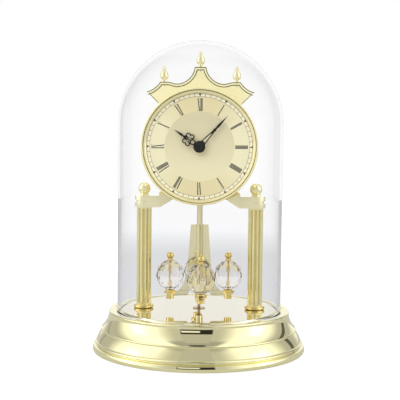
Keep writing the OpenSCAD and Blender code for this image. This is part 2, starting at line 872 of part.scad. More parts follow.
module pendulum_rod() {
    window_h = stirrup_top_z - stirrup_bottom_z - 2.2;
    color(brass) rotate([0, 0, pendulum_rest]) difference() {
        union() {
            shaft(rod_r, tower_top_z - 8, stirrup_bottom_z + 0.1);
            shaft(stirrup_r, stirrup_bottom_z, stirrup_top_z);
        }
        shaft(stirrup_r - 0.5, stirrup_bottom_z + 1, stirrup_bottom_z + 1 + window_h);
        translate([-1, -stirrup_r - 1, stirrup_bottom_z + 1]) cube([2, stirrup_r + 1 + shaft_r + 0.1, 10]);
        translate([-2.4, -stirrup_r - 1, stirrup_bottom_z + 1]) cube([4.8, stirrup_r + 1, window_h]);
    }
}

// Outer edge of a vane: almost straight, flaring out to meet the arm.
function vane_r(z) = 6.3 + 0.0743 * (tower_top_z - z) + 5.3 * exp(-(z - arm_top_z) / 4.73);

arm_reach = orb_ring_r + 5.5;

module vane_outline() {
    steps = 16;
    h = tower_top_z - arm_top_z;
    root_z = arm_top_z - 1.5;
    polygon(concat(
        [[1, tower_top_z]],
        [for (i = [0:steps]) let (z = tower_top_z - h * pow(i / steps, 0.6)) [vane_r(z), z]],
        [[vane_r(arm_top_z), root_z], [8, root_z]],
        [for (i = [0:8]) [6.8 - 4.6 * (1 - cos(90 * i / 8)), arm_top_z + 12 * sin(90 * i / 8)]],
        [[1, arm_top_z + 12]]
    ));
}

module arm_outline() {
    polygon([[arm_reach, arm_top_z], [arm_reach - 4, arm_bottom_z], [8.8, arm_bottom_z], [6.8, arm_top_z]]);
}

// Central tube with four vanes that flare into the arms.
module pendulum_tower() {
    vane_t = 1.4;
    color(brass) difference() {
        union() {
            shaft(hub_r, hub_bottom_z + 1.2, tower_top_z + 0.4);
            translate([0, 0, hub_bottom_z]) cylinder(r1 = 1.7, r2 = hub_r, h = 1.2 + eps);
            for (k = [0:3]) rotate([0, 0, pendulum_rest + 90 * k]) rotate([90, 0, 0]) {
                translate([0, 0, -vane_t / 2]) linear_extrude(vane_t) vane_outline();
                translate([0, 0, -arm_w / 2]) linear_extrude(arm_w) arm_outline();
            }
        }
        shaft(rod_r + gap, tower_top_z - 8, tower_top_z + 1);
        shaft(pin_r + gap, hub_bottom_z - 1, hub_bottom_z + 8);
        at_orbs() shaft(orb_pin_r + gap, arm_bottom_z - 1, arm_top_z + 1);
    }
}

module guide_pin() {
    color([0.45, 0.36, 0.2]) shaft(pin_r, seat_z - 3, hub_bottom_z + 8);
}

// Ferrule under each ball, slotted to straddle its arm.
module orb_cups() {
    slack = 0.02;   // clearance of the slot around the arm
    color(gold) at_orbs() difference() {
        union() {
            shaft(2.7, plate_z + 7.1, arm_top_z);
            shaft(4.3, arm_top_z - 1.9, arm_top_z);
            shaft(3.15, arm_top_z - 1.2, orb_bottom_z);
        }
        translate([-5, -arm_w / 2 - slack, arm_bottom_z - slack])
            cube([10, arm_w + 2 * slack, arm_top_z - arm_bottom_z + 2 * slack]);
        shaft(orb_pin_r + gap, plate_z + 7.7, orb_bottom_z + 1);
    }
}

// Cut crystal ball: flat facets around a bored axis.
module crystal_orb() {
    rows = 7;
    flats = 12;
    bore = orb_pin_r + 0.1;
    sides = [for (i = [0:rows]) let (a = 14 + 152 * i / rows) [orb_r * sin(a), orb_h * (1 - cos(a)) / 2]];
    translate([0, 0, orb_bottom_z]) difference() {
        rotate_extrude($fn = flats)
            polygon(concat([[0, 0], [sides[0][0], 0]], sides, [[sides[rows][0], orb_h], [0, orb_h]]));
        translate([0, 0, -1]) cylinder(r = bore, h = orb_h + 2);
    }
}

module crystal_orbs() {
    color([0.9, 0.92, 0.95, 0.5]) at_orbs() crystal_orb();
}

// Pin through each ball, with a collar and a small ball on top.
module orb_finials() {
    color(gold) at_orbs() {
        shaft(orb_pin_r, plate_z + 7.8, orb_top_z + 2);
        shaft(2.3, orb_top_z, orb_top_z + 0.8);
        shaft(1.6, orb_top_z + 0.7, orb_top_z + 2);
        translate([0, 0, orb_top_z + 3.6]) sphere(r = orb_ball_r);
    }
}

// ---------- dome ----------

module glass_dome() {
    shoulder = seat_z + dome_h - dome_r;
    color([0.95, 0.97, 0.98, 0.25]) difference() {
        union() {
            shaft(dome_r, seat_z, shoulder);
            translate([0, 0, shoulder]) sphere(r = dome_r);
        }
        shaft(dome_r - dome_t, seat_z - 1, shoulder);
        translate([0, 0, shoulder]) sphere(r = dome_r - dome_t);
    }
}

// ---------- assembly ----------

base_shell();
base_cover();
felt_ring();
base_screws();
mirror_plate();
guide_bush();
column_left();
column_right();
column_collars();
column_finials();
tie_rods();
tie_rod_washers();
tie_rod_nuts();
bridge();
bridge_screws();
movement_drum();
rear_cover();
rear_cover_screws();
battery_door();
bezel();
dial();
pediment();
pediment_screws();
pediment_finials();
movement_front_case();
movement_back_case();
mounting_bush();
mounting_nut();
mounting_washer();
battery();
battery_spring_contact();
battery_plate_contact();
circuit_board();
driver_chip();
quartz_crystal();
stator();
motor_coil();
rotor();
intermediate_wheel();
centre_wheel();
motion_wheel();
set_knob();
hour_wheel();
hour_hand();
minute_hand();
hand_cap();
pendulum_drive_case();
pendulum_coil();
pendulum_bearing();
pendulum_shaft();
pendulum_magnet();
pendulum_rod();
pendulum_tower();
guide_pin();
orb_cups();
crystal_orbs();
orb_finials();
glass_dome();
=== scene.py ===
"""Anniversary clock under a glass dome: the looks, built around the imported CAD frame.

Blender's units are metres, +Z is up and the dial faces -Y. Outlines are drawn in millimetres,
and scaled() turns them into metres.
"""

import json
import math

import bmesh
import bpy
from mathutils import Matrix, Vector


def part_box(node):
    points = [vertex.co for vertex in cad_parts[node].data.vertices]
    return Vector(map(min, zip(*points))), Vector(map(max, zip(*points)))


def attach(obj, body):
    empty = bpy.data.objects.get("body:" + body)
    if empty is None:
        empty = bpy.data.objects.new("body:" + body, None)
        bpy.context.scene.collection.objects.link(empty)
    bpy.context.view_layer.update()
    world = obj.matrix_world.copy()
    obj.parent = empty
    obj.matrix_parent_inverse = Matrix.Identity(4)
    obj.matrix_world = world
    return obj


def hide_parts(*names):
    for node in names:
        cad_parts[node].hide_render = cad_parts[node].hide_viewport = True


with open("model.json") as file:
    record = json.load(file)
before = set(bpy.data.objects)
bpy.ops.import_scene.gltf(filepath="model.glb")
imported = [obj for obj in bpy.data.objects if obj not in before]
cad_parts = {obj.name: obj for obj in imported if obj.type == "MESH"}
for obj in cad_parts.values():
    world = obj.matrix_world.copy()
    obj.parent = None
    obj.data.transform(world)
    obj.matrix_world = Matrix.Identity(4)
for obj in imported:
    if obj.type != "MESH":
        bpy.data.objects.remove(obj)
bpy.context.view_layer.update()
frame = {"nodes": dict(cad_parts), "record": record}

MM = 0.001
nodes = frame["nodes"]


# ---------------------------------------------------------------- node graphs

class Graph:
    """The node tree of a material or a world, with short ways to add nodes and joins."""

    def __init__(self, owner, output):
        owner.use_nodes = True
        self.owner = owner
        self.tree = owner.node_tree
        self.tree.nodes.clear()
        self.out = self.add(output)

    def add(self, kind, inputs=None, **props):
        """Adds a node. Each input is another node's output, which is joined, or a plain value."""
        node = self.tree.nodes.new(kind)
        for key, value in props.items():
            setattr(node, key, value)
        for key, value in (inputs or {}).items():
            if isinstance(value, bpy.types.NodeSocket):
                self.tree.links.new(value, node.inputs[key])
            else:
                node.inputs[key].default_value = value
        return node

    def math(self, op, a, b=0.0):
        return self.add("ShaderNodeMath", {0: a, 1: b}, operation=op).outputs[0]

    def plus(self, a, b):
        return self.math("ADD", a, b)

    def times(self, a, b):
        return self.math("MULTIPLY", a, b)

    def length(self, a, b):
        return self.math("SQRT", self.plus(self.times(a, a), self.times(b, b)))

    def place(self, scale=(1, 1, 1)):
        """Coordinates in millimetres of the clock's own frame, stretched by scale."""
        coord = self.add("ShaderNodeTexCoord").outputs["Object"]
        size = [s / MM for s in scale]
        return self.add("ShaderNodeMapping", {"Vector": coord, "Scale": size}).outputs[0]

    def split(self, vector):
        return self.add("ShaderNodeSeparateXYZ", {"Vector": vector}).outputs

    def noise(self, scale, detail=3.0, rough=0.55, stretch=(1, 1, 1)):
        """Noise with scale cells per millimetre."""
        return self.add("ShaderNodeTexNoise",
                        {"Vector": self.place(stretch), "Scale": scale, "Detail": detail,
                         "Roughness": rough}).outputs["Fac"]

    def band(self, value, low, high, to_low=0.0, to_high=1.0, **props):
        """Maps low to high onto to_low to to_high, and holds the ends outside that range."""
        return self.add("ShaderNodeMapRange",
                        {"Value": value, "From Min": low, "From Max": high,
                         "To Min": to_low, "To Max": to_high}, **props).outputs[0]

    def mix(self, share, a, b):
        """Colour a, with a share of colour b laid over it."""
        return self.add("ShaderNodeMix", {0: share, 6: a, 7: b}, data_type="RGBA").outputs[2]

    def bump(self, height, depth_mm, normal=None):
        inputs = {"Height": height, "Distance": depth_mm * MM, "Strength": 1.0}
        if normal is not None:
            inputs["Normal"] = normal
        return self.add("ShaderNodeBump", inputs).outputs[0]

    def close(self, shader):
        """Joins a shader to the output, and returns the material or world."""
        self.tree.links.new(shader.outputs[0], self.out.inputs["Surface"])
        return self.owner

    def surface(self, inputs):
        return self.close(self.add("ShaderNodeBsdfPrincipled", inputs))


def material(name):
    return Graph(bpy.data.materials.new(name), "ShaderNodeOutputMaterial")


def rgb(*c):
    return (*c, 1.0)


def dimmed(colour, factor):
    return rgb(*[c * factor for c in colour])


# ---------------------------------------------------------------- materials

# Noise scales are in cells per millimetre, and bump depths in millimetres.


def polished_metal(name, tint, warm, rough, smudge, ripple, metal=1.0):
    """Polished, lacquered metal: uneven tint, faint smudges and a slight ripple from pressing."""
    g = material(name)
    tone = g.band(g.noise(0.06, 4), 0.35, 0.7)
    colour = g.mix(g.times(tone, 0.55), rgb(*tint), rgb(*warm))
    tarnish = g.band(g.noise(0.02, 3), 0.5, 0.8)
    colour = g.mix(g.times(tarnish, 0.2), colour, dimmed(warm, 0.9))
    film = g.band(g.noise(0.13, 5, 0.65), 0.45, 0.78)
    wave = g.bump(g.noise(0.22, 2, 0.4), ripple * 12)
    normal = g.bump(g.noise(2.6, 4, 0.7), ripple, wave)
    return g.surface({"Base Color": colour, "Metallic": metal,
                      "Roughness": g.plus(rough, g.times(film, smudge)),
                      "Normal": normal, "Specular IOR Level": 0.5})


def column_material(axis_x, land_r, flute_depth):
    """Polished brass, painted a deeper gold in the bottom of the flutes as shade."""
    g = material("column_brass")
    x, y, _ = g.split(g.place())
    radius = g.length(g.math("SUBTRACT", g.math("ABSOLUTE", x), axis_x / MM), y)
    # Painted shade: the colour turns a deeper gold towards the bottom of each flute.
    flute_shade = g.band(radius, land_r / MM - flute_depth, land_r / MM - 0.08, 1.0, 0.0)
    tone = g.band(g.noise(0.06, 4), 0.35, 0.7)
    land = g.mix(tone, rgb(1.0, 0.95, 0.58), rgb(0.95, 0.86, 0.42))
    colour = g.mix(g.times(flute_shade, 0.8), land, rgb(0.64, 0.48, 0.12))
    hair = g.noise(3.0, 5, 0.8, stretch=(1, 1, 0.04))
    return g.surface({"Base Color": colour, "Metallic": 0.9,
                      "Roughness": g.plus(0.05, g.times(hair, 0.06)),
                      "Normal": g.bump(hair, 0.001)})


def brushed_metal(name, tint, axis=2, rough=0.24):
    """Plated steel with fine drawn lines along one axis."""
    g = material(name)
    stretch = [1.0, 1.0, 1.0]
    stretch[axis] = 0.05
    grain = g.noise(4.0, 4, 0.7, stretch)
    stain = g.band(g.noise(0.3, 4), 0.4, 0.75)
    return g.surface({"Base Color": g.mix(stain, rgb(*tint), dimmed(tint, 0.78)),
                      "Metallic": 1.0, "Roughness": g.plus(rough, g.times(grain, 0.18)),
                      "Normal": g.bump(grain, 0.006), "Anisotropic": 0.4})


def moulded_plastic(name, colour, rough=0.38, sheen=0.0, grain=0.01):
    """Moulded plastic with a fine spark-eroded texture and slight gloss changes."""
    g = material(name)
    pebble = g.add("ShaderNodeTexVoronoi", {"Vector": g.place(), "Scale": 3.2}).outputs["Distance"]
    cloud = g.noise(0.15, 4)
    paler = rgb(*[min(1, c * 1.35 + 0.004) for c in colour])
    return g.surface({"Base Color": g.mix(g.band(cloud, 0.35, 0.7), rgb(*colour), paler),
                      "Roughness": g.plus(rough, g.times(cloud, 0.16)),
                      "Normal": g.bump(pebble, grain),
                      "Specular IOR Level": 0.45, "Sheen Weight": sheen})


def mirror_material():
    """Mirror with a faint gold cast, a little haze and a few dust specks."""
    g = material("plate_mirror")
    haze = g.band(g.noise(0.05, 4), 0.5, 0.8)
    dust = g.band(g.noise(5.0, 2, 0.5), 0.78, 0.84)
    colour = g.mix(g.times(haze, 0.3), rgb(0.88, 0.82, 0.62), rgb(0.86, 0.79, 0.56))
    roughness = g.plus(g.plus(g.times(haze, 0.02), g.times(dust, 0.25)), 0.008)
    return g.surface({"Base Color": colour, "Metallic": 1.0, "Roughness": roughness,
                      "Normal": g.bump(g.noise(0.04, 1), 0.004)})


def dial_material(centre_z, zone_r, border_r):
    """Champagne dial: a brushed sunburst out to zone_r, rings of grain, and a paler border."""
    g = material("dial_gold")
    x, _, height = g.split(g.place())
    z = g.math("SUBTRACT", height, centre_z / MM)
    radius = g.length(x, z)
    angle = g.math("ARCTAN2", z, x)

    def grain_along(turns, reach, offset, scale):
        """Noise over angle and radius: long along the one that has the smaller factor."""
        at = g.add("ShaderNodeCombineXYZ",
                   {0: g.times(angle, turns), 1: g.times(radius, reach), 2: offset}).outputs[0]
        return g.add("ShaderNodeTexNoise",
                     {"Vector": at, "Scale": scale, "Detail": 4.0}).outputs["Fac"]

    rays = grain_along(60.0, 0.05, 0.0, 2.2)
    rings = grain_along(1.5, 6.0, 3.0, 2.0)
    inner = g.band(radius, zone_r - 0.1, zone_r + 0.1, 1.0, 0.0)
    border = g.band(radius, border_r - 0.1, border_r + 0.1)

    # Painted sheen: the ring of numerals is painted darker above and below the centre and brighter
    # to the sides.
    outside = g.mix(rings, rgb(0.90, 0.81, 0.48), rgb(0.95, 0.87, 0.56))
    painted_sheen_side = g.math("ABSOLUTE", g.math("DIVIDE", x, g.math("MAXIMUM", radius, 0.5)))
    outside = g.mix(g.band(painted_sheen_side, 0.35, 0.95, 0.0, 0.75),
                    g.mix(0.22, outside, rgb(0.66, 0.55, 0.30)), rgb(1.0, 0.96, 0.68))
    # Painted shade: the middle is painted darker towards its top.
    middle = g.mix(rays, rgb(0.90, 0.83, 0.54), rgb(0.94, 0.88, 0.60))
    middle = g.mix(g.band(z, -16, 20, 0.0, 0.42), middle, rgb(0.56, 0.51, 0.33))
    colour = g.mix(border, g.mix(inner, outside, middle), rgb(0.88, 0.81, 0.56))

    grain = g.plus(g.times(rays, inner), g.times(rings, g.math("SUBTRACT", 1.0, inner)))
    roughness = g.plus(g.math("SUBTRACT", 0.56, g.times(border, 0.16)), g.times(grain, 0.08))
    return g.surface({"Base Color": colour, "Metallic": 0.35, "Roughness": roughness,
                      "Normal": g.bump(grain, 0.004), "Specular IOR Level": 0.3})


def ink_and_shade_material(name, colour, rough=0.45):
    """Printed ink, and painted shade in flat dark lines: slightly uneven coverage and a soft edge
    to its gloss.
    """
    g = material(name)
    cover = g.band(g.noise(6.0, 4, 0.7), 0.3, 0.75)
    return g.surface({"Base Color": g.mix(cover, rgb(*colour), rgb(*[c + 0.03 for c in colour])),
                      "Roughness": g.plus(rough, g.times(cover, 0.2)),
                      "Normal": g.bump(cover, 0.004)})


def painted_hand():
    """Black enamel on a stamped hand: a little orange peel and gloss."""
    g = material("hand_black")
    peel = g.noise(2.4, 3)
    cloud = g.band(g.noise(0.7, 3), 0.4, 0.7)
    return g.surface({"Base Color": g.mix(cloud, rgb(0.006, 0.006, 0.006),
                                          rgb(0.018, 0.017, 0.016)),
                      "Roughness": g.plus(0.35, g.times(peel, 0.2)),
                      "Normal": g.bump(peel, 0.006), "Specular IOR Level": 0.25})


def clear_glass(name, tint, ior, ripple, shadow, haze, painted_shade_tint=None, fade=None):
    """Solid glass with a slight ripple, which casts only a faint shadow.

    shadow is the share of light that passes where a shadow would fall. With a low tint, the glass
    is painted that greyer tint as shade below the first height of fade, in metres, and has its own
    tint above the second.
    """
    g = material(name)
    fine = g.noise(0.5, 3)
    film = g.band(g.noise(0.08, 5, 0.7), 0.5, 0.85)
    colour = g.mix(fine, rgb(*tint), rgb(*[min(1.0, c * 1.01) for c in tint]))
    # Painted shade: the lowest part of the glass is tinted greyer.
    if painted_shade_tint:
        height = g.split(g.place())[2]
        colour = g.mix(g.band(height, fade[0] / MM, fade[1] / MM), rgb(*painted_shade_tint), colour)
    glass = g.add("ShaderNodeBsdfGlass",
                  {"Color": colour, "Roughness": g.times(film, haze), "IOR": ior,
                   "Normal": g.bump(g.noise(0.035, 2, 0.4), ripple)})
    clear = g.add("ShaderNodeBsdfTransparent", {"Color": rgb(shadow, shadow, shadow)})
    path = g.add("ShaderNodeLightPath").outputs
    light = g.math("MAXIMUM", path["Is Shadow Ray"], path["Is Diffuse Ray"])
    return g.close(g.add("ShaderNodeMixShader", {0: light, 1: glass.outputs[0],
                                                 2: clear.outputs[0]}))


def felt_material():
    g = material("felt")
    fibre = g.noise(3.0, 6, 0.8)
    patch = g.noise(0.2, 4)
    tone = g.mix(fibre, rgb(0.015, 0.06, 0.03), rgb(0.05, 0.16, 0.08))
    tone = g.mix(g.times(patch, 0.3), tone, rgb(0.02, 0.05, 0.03))
    return g.surface({"Base Color": tone, "Roughness": 0.95, "Sheen Weight": 0.6,
                      "Normal": g.bump(fibre, 0.15)})


def board_material():
    """Green circuit board with a grid of copper tracks."""
    g = material("board_green")
    tracks = g.add("ShaderNodeTexBrick",
                   {"Vector": g.place(), "Scale": 0.6, "Mortar Size": 0.03,
                    "Color1": rgb(0.01, 0.13, 0.05), "Color2": rgb(0.012, 0.16, 0.06),
                    "Mortar": rgb(0.35, 0.28, 0.09)}).outputs["Color"]
    return g.surface({"Base Color": g.mix(g.times(g.noise(0.8, 3), 0.4), tracks,
                                          rgb(0.01, 0.09, 0.04)),
                      "Roughness": 0.32, "Normal": g.bump(g.noise(1.5, 3), 0.01)})


def coil_material():
    """Copper wire wound side by side."""
    g = material("coil_copper")
    wave = g.add("ShaderNodeTexWave",
                 {"Vector": g.place(), "Scale": 2.2, "Distortion": 0.6, "Detail": 2.0},
                 wave_type="BANDS", bands_direction="X").outputs["Fac"]
    tone = g.mix(wave, rgb(0.30, 0.09, 0.03), rgb(0.72, 0.30, 0.13))
    return g.surface({"Base Color": tone, "Metallic": 0.9, "Roughness": 0.3,
                      "Normal": g.bump(wave, 0.05)})


def jacket_material(low_x, high_x):
    """Foil jacket of a dry cell: a dark body with a copper-coloured band at one end."""
    g = material("cell_jacket")
    share = g.band(g.split(g.place())[0], low_x / MM, high_x / MM)
    body = g.mix(g.noise(0.3, 3), rgb(0.02, 0.03, 0.05), rgb(0.05, 0.06, 0.09))
    colour = g.mix(g.math("GREATER_THAN", share, 0.7), body, rgb(0.55, 0.30, 0.12))
    return g.surface({"Base Color": colour, "Metallic": 0.6, "Roughness": 0.28,
                      "Normal": g.bump(g.noise(0.8, 3), 0.02)})


# ---------------------------------------------------------------- mesh helpers

def to_mesh(bm, name):
    bmesh.ops.recalc_face_normals(bm, faces=bm.faces)
    mesh = bpy.data.meshes.new(name)
    bm.to_mesh(mesh)
    bm.free()
    return mesh


def new_piece(name, body, bm, mat, smooth_deg=None):
    """A piece from a bmesh, riding on a body. Edges sharper than smooth_deg stay sharp."""
    mesh = to_mesh(bm, name)
    obj = bpy.data.objects.new(name, mesh)
    bpy.context.scene.collection.objects.link(obj)
    mesh.materials.append(mat)
    if smooth_deg is not None:
        for poly in mesh.polygons:
            poly.use_smooth = True
        mesh.set_sharp_from_angle(angle=math.radians(smooth_deg))
    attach(obj, body)
    return obj


def bevel(obj, width_mm):
    mod = obj.modifiers.new("bevel", "BEVEL")
    mod.width = width_mm * MM
    mod.segments = 3
    mod.limit_method = "ANGLE"
    mod.angle_limit = math.radians(30)
    mod.harden_normals = True


def lathe_into(bm, profile, place, steps):
    """Turns a closed (radius, height) outline, in metres, into a ring, or a solid where it
    reaches the axis."""
    rings = []
    for r, h in profile:
        if r < 1e-9:
            rings.append([bm.verts.new(place @ Vector((0, 0, h)))])
        else:
            rings.append([bm.verts.new(place @ Vector((r * math.cos(t), r * math.sin(t), h)))
                          for t in (2 * math.pi * i / steps for i in range(steps))])
    for a, b in zip(rings, rings[1:] + rings[:1]):
        if len(a) == 1 and len(b) == 1:
            continue
        for i in range(steps):
            j = (i + 1) % steps
            ring = []
            for v in (a[i % len(a)], a[j % len(a)], b[j % len(b)], b[i % len(b)]):
                if v not in ring:
                    ring.append(v)
            bm.faces.new(ring)


def prism_into(bm, outline, z0, z1, place):
    """Extrudes a simple outline between two heights."""
    low = [bm.verts.new(place @ Vector((x, y, z0))) for x, y in outline]
    high = [bm.verts.new(place @ Vector((x, y, z1))) for x, y in outline]
    bm.faces.new(low)
    bm.faces.new(high)
    for i in range(len(outline)):
        j = (i + 1) % len(outline)
        bm.faces.new((low[i], low[j], high[j], high[i]))


def arc(centre, r, a0, a1, n):
    """Points of an arc from angle a0 to a1, in degrees, in n steps."""
    return [(centre[0] + r * math.cos(math.radians(a0 + (a1 - a0) * i / n)),
             centre[1] + r * math.sin(math.radians(a0 + (a1 - a0) * i / n)))
            for i in range(n + 1)]


def rounded(points, r, n):
    """The closed outline with each corner rounded to radius r, less where its sides are short.

    Corners that turn by less than 15 degrees are left alone.
    """
    out = []
    count = len(points)
    for i, p in enumerate(points):
        p = Vector(p)
        a, b = Vector(points[i - 1]) - p, Vector(points[(i + 1) % count]) - p
        if a.length < 1e-9 or b.length < 1e-9 or a.angle(b) > math.radians(165):
            out.append(tuple(p))
            continue
        cut = min(r / math.tan(a.angle(b) / 2), a.length * 0.45, b.length * 0.45)
        start, end = p + a.normalized() * cut, p + b.normalized() * cut
        for k in range(n + 1):
            t = k / n
            out.append(tuple((1 - t) ** 2 * start + 2 * t * (1 - t) * p + t ** 2 * end))
    return out


def scaled(points):
    return [(x * MM, y * MM) for x, y in points]


# ---------------------------------------------------------------- places taken from the frame

dial_low, dial_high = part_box("dial")
dial_z = (dial_low.z + dial_high.z) / 2
dial_y = dial_low.y
# Local x right, y up, z forwards from the dial's face.
on_dial = Matrix(((1, 0, 0, 0), (0, 0, -1, dial_y), (0, 1, 0, dial_z), (0, 0, 0, 1)))
upright = Matrix.Identity(4)

base_low, base_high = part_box("base_shell")
base_r = (base_high.x - base_low.x) / 2
dome_low, dome_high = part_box("glass_dome")
dome_r = (dome_high.x - dome_low.x) / 2
bezel_low, bezel_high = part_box("bezel")
bezel_r = (bezel_high.x - bezel_low.x) / 2
column_low, column_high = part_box("column_right")
column_x = (column_low.x + column_high.x) / 2
column_r = (column_high.x - column_low.x) / 2
cell_low, cell_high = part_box("battery")
orb_low, orb_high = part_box("crystal_orbs")
pediment_front = (dial_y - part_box("pediment")[0].y) / MM

FLUTE_DEPTH = 0.7                           # mm
DIAL_ZONE_R, DIAL_BORDER_R = 24.6, 35.4     # mm


# ---------------------------------------------------------------- material library

by_slot = {
    "base_brass": polished_metal("base_brass", (0.92, 0.87, 0.54), (0.88, 0.81, 0.43),
                                 rough=0.035, smudge=0.04, ripple=0.0008),
    "frame_brass": polished_metal("frame_brass", (1.0, 0.95, 0.64), (0.98, 0.91, 0.52),
                                  rough=0.07, smudge=0.05, ripple=0.0006, metal=0.75),
    "column_brass": column_material(column_x, column_r, FLUTE_DEPTH),
    "bezel_brass": polished_metal("bezel_brass", (0.96, 0.88, 0.52), (0.94, 0.83, 0.40),
                                  rough=0.08, smudge=0.06, ripple=0.0008, metal=0.5),
    "pendulum_brass": polished_metal("pendulum_brass", (0.90, 0.85, 0.56), (0.84, 0.76, 0.43),
                                     rough=0.04, smudge=0.05, ripple=0.0009),
    "gold_fittings": polished_metal("gold_fittings", (0.92, 0.75, 0.31), (0.84, 0.62, 0.18),
                                    rough=0.05, smudge=0.08, ripple=0.0012),
    "screw_steel": brushed_metal("screw_steel", (0.62, 0.63, 0.65)),
    "magnet_grey": brushed_metal("magnet_grey", (0.25, 0.25, 0.27), axis=1, rough=0.35),
    "plate_mirror": mirror_material(),
    "hand_black": painted_hand(),
    "dial_gold": dial_material(dial_z, DIAL_ZONE_R, DIAL_BORDER_R),
    "crystal": clear_glass("crystal", (0.965, 0.952, 0.935), ior=1.46, ripple=0.0,
                           shadow=0.9, haze=0.1),
    # Painted shade: the dome is tinted a little greyer low down, from 50 to 120 mm.
    "dome_glass": clear_glass("dome_glass", (0.998, 0.999, 0.998), ior=1.2, ripple=0.004,
                              shadow=0.97, haze=0.0, painted_shade_tint=(0.978, 0.98, 0.988),
                              fade=(0.05, 0.12)),
    "felt": felt_material(),
    "case_plastic": moulded_plastic("case_plastic", (0.018, 0.018, 0.019)),
    "base_cover_board": moulded_plastic("base_cover_board", (0.03, 0.027, 0.024),
                                        rough=0.6, sheen=0.1, grain=0.03),
    "washer_rubber": moulded_plastic("washer_rubber", (0.02, 0.02, 0.02),
                                     rough=0.7, sheen=0.2, grain=0.02),
    "wheel_plastic": moulded_plastic("wheel_plastic", (0.72, 0.70, 0.60),
                                     rough=0.3, grain=0.006),
    "board_green": board_material(),
    "coil_copper": coil_material(),
    "cell_jacket": jacket_material(cell_low.x, cell_high.x),
}
finial_brass = polished_metal("finial_brass", (0.97, 0.91, 0.60), (0.92, 0.83, 0.44),
                              rough=0.06, smudge=0.05, ripple=0.0008, metal=0.75)
pediment_gold = polished_metal("pediment_gold", (1.0, 0.95, 0.60), (0.98, 0.90, 0.46),
                               rough=0.15, smudge=0.06, ripple=0.0006, metal=0.22)
pin_bronze = polished_metal("pin_bronze", (0.42, 0.30, 0.14), (0.30, 0.20, 0.09),
                            rough=0.14, smudge=0.1, ripple=0.0012)
# Painted shade in the bezel's groove; the black below serves both the dial's print and the painted
# shade lines of the pediment.
groove_shade = ink_and_shade_material("groove_shade", (0.10, 0.075, 0.035), rough=0.5)
print_and_shade_black = ink_and_shade_material("print_and_shade_black", (0.012, 0.011, 0.010))
ink_pale = ink_and_shade_material("ink_pale", (0.92, 0.87, 0.64), rough=0.3)

for part in frame["record"]["subparts"]:
    mesh_materials = nodes[part["node"]].data.materials
    mesh_materials.clear()
    mesh_materials.append(by_slot[part["material_slot"]])
for name, mat in {"guide_pin": pin_bronze, "guide_bush": pin_bronze, "pediment": pediment_gold,
                  "pediment_finials": finial_brass, "column_finials": finial_brass}.items():
    nodes[name].data.materials[0] = mat

BEVELS = {  # mm
    "bridge": 0.35, "pediment": 0.22, "pendulum_tower": 0.55, "hour_hand": 0.1,
    "minute_hand": 0.1, "hand_cap": 0.3, "orb_cups": 0.15, "mirror_plate": 0.12,
    "rear_cover": 0.25, "battery_door": 0.2, "movement_drum": 0.2, "set_knob": 0.2,
}
for name, width in BEVELS.items():
    bevel(nodes[name], width)


# ---------------------------------------------------------------- base shell

def base_outline():
    """The shell's moulding, from the dome's seat out and down to the foot, then up inside."""
    r, top, foot = base_r / MM, base_high.z / MM, base_low.z / MM
    seat_r, seat = (dome_r / MM) + 1.6, top - 0.8
    outside = [(seat_r, seat), (seat_r, top - 0.3), (seat_r + 0.3, top)]
    outside += arc((r - 12.5, top - 1.1), 1.1, 90, -30, 12)     # rolled rim
    outside += arc((r + 6.3, top - 0.3), 18, 185, 224.3, 28)    # cove
    outside += arc((r - 6.9, top - 13.6), 0.8, 50, -60, 10)     # bead under the cove
    outside += arc((r - 31.6, top - 32.6), 31, 36, 21, 20)      # swelling band
    outside += arc((r - 3.3, foot + 5.7), 1.5, 70, -50, 12)     # bead over the foot
    outside += arc((r - 12, foot + 0.6), 12, 17, 0, 12)         # foot
    outside += [(r - 0.4, foot)]
    inside = [(r - 4.4, foot), (r - 4.4, 6.5), (r - 7.4, 14), (r - 10.2, 18),
              (r - 13.4, top - 7), (r - 15.2, top - 5), (r - 17, seat - 1.6), (0, seat - 1.6)]
    return [(0, seat)] + outside + inside


bm = bmesh.new()
# [1:] leaves out a second point on the axis.
lathe_into(bm, scaled(rounded(base_outline(), r=0.25, n=3)[1:]), upright, steps=288)
shell = new_piece("base_moulding", "stand", bm, by_slot["base_brass"], 38)
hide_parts("base_shell")


# ---------------------------------------------------------------- glass dome

DOME_WALL = 2.0     # mm


def dome_outline():
    """The dome's section: outside up to the crown, inside down again, and a rounded lip."""
    r, top, foot = dome_r / MM, dome_high.z / MM, dome_low.z / MM
    inner_r, shoulder = r - DOME_WALL, top - r
    outer = [(r, foot + 0.9), (r, foot + 1.4)] + arc((0, shoulder), r, 0, 90, 72)
    inner = (arc((0, shoulder), inner_r, 90, 0, 72)
             + [(inner_r, foot + 1.4), (inner_r, foot + 0.9)])
    lip = [(inner_r + 0.25, foot + 0.3), (inner_r + 0.6, foot), (r - 0.6, foot),
           (r - 0.25, foot + 0.3)]
    return [(0 if x < 1e-6 else x, y) for x, y in outer + inner + lip]


bm = bmesh.new()
lathe_into(bm, scaled(dome_outline()), upright, steps=256)
dome = new_piece("dome_blown_glass", "dome", bm, by_slot["dome_glass"], 50)
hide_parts("glass_dome")


# ---------------------------------------------------------------- dial print

# All in millimetres. Ink heights differ a little, so that shapes that cross don't share a plane.
INK, INK_STEP = 0.03, 0.002
NUMERAL_IN, NUMERAL_OUT = 25.2, 34.0
TRACK_IN, TRACK_OUT = 35.25, 37.3
THICK, THIN, GAP = 0.64, 0.1, 0.2       # strokes, and the space between letters
V_FOOT = 0.1                            # how far right of its middle a V's foot stands
LETTER_WIDTH = {"I": THICK, "V": 1.8, "X": 1.9}
SERIF_OVERHANG, SERIF_HALF = 0.1, 0.06
TRACK_LINE_HALF, MINUTE_HALF, HOUR_MARK_HALF = 0.1, 0.14, 1.05
HOURS = ["XII", "I", "II", "III", "IIII", "V", "VI", "VII", "VIII", "IX", "X", "XI"]


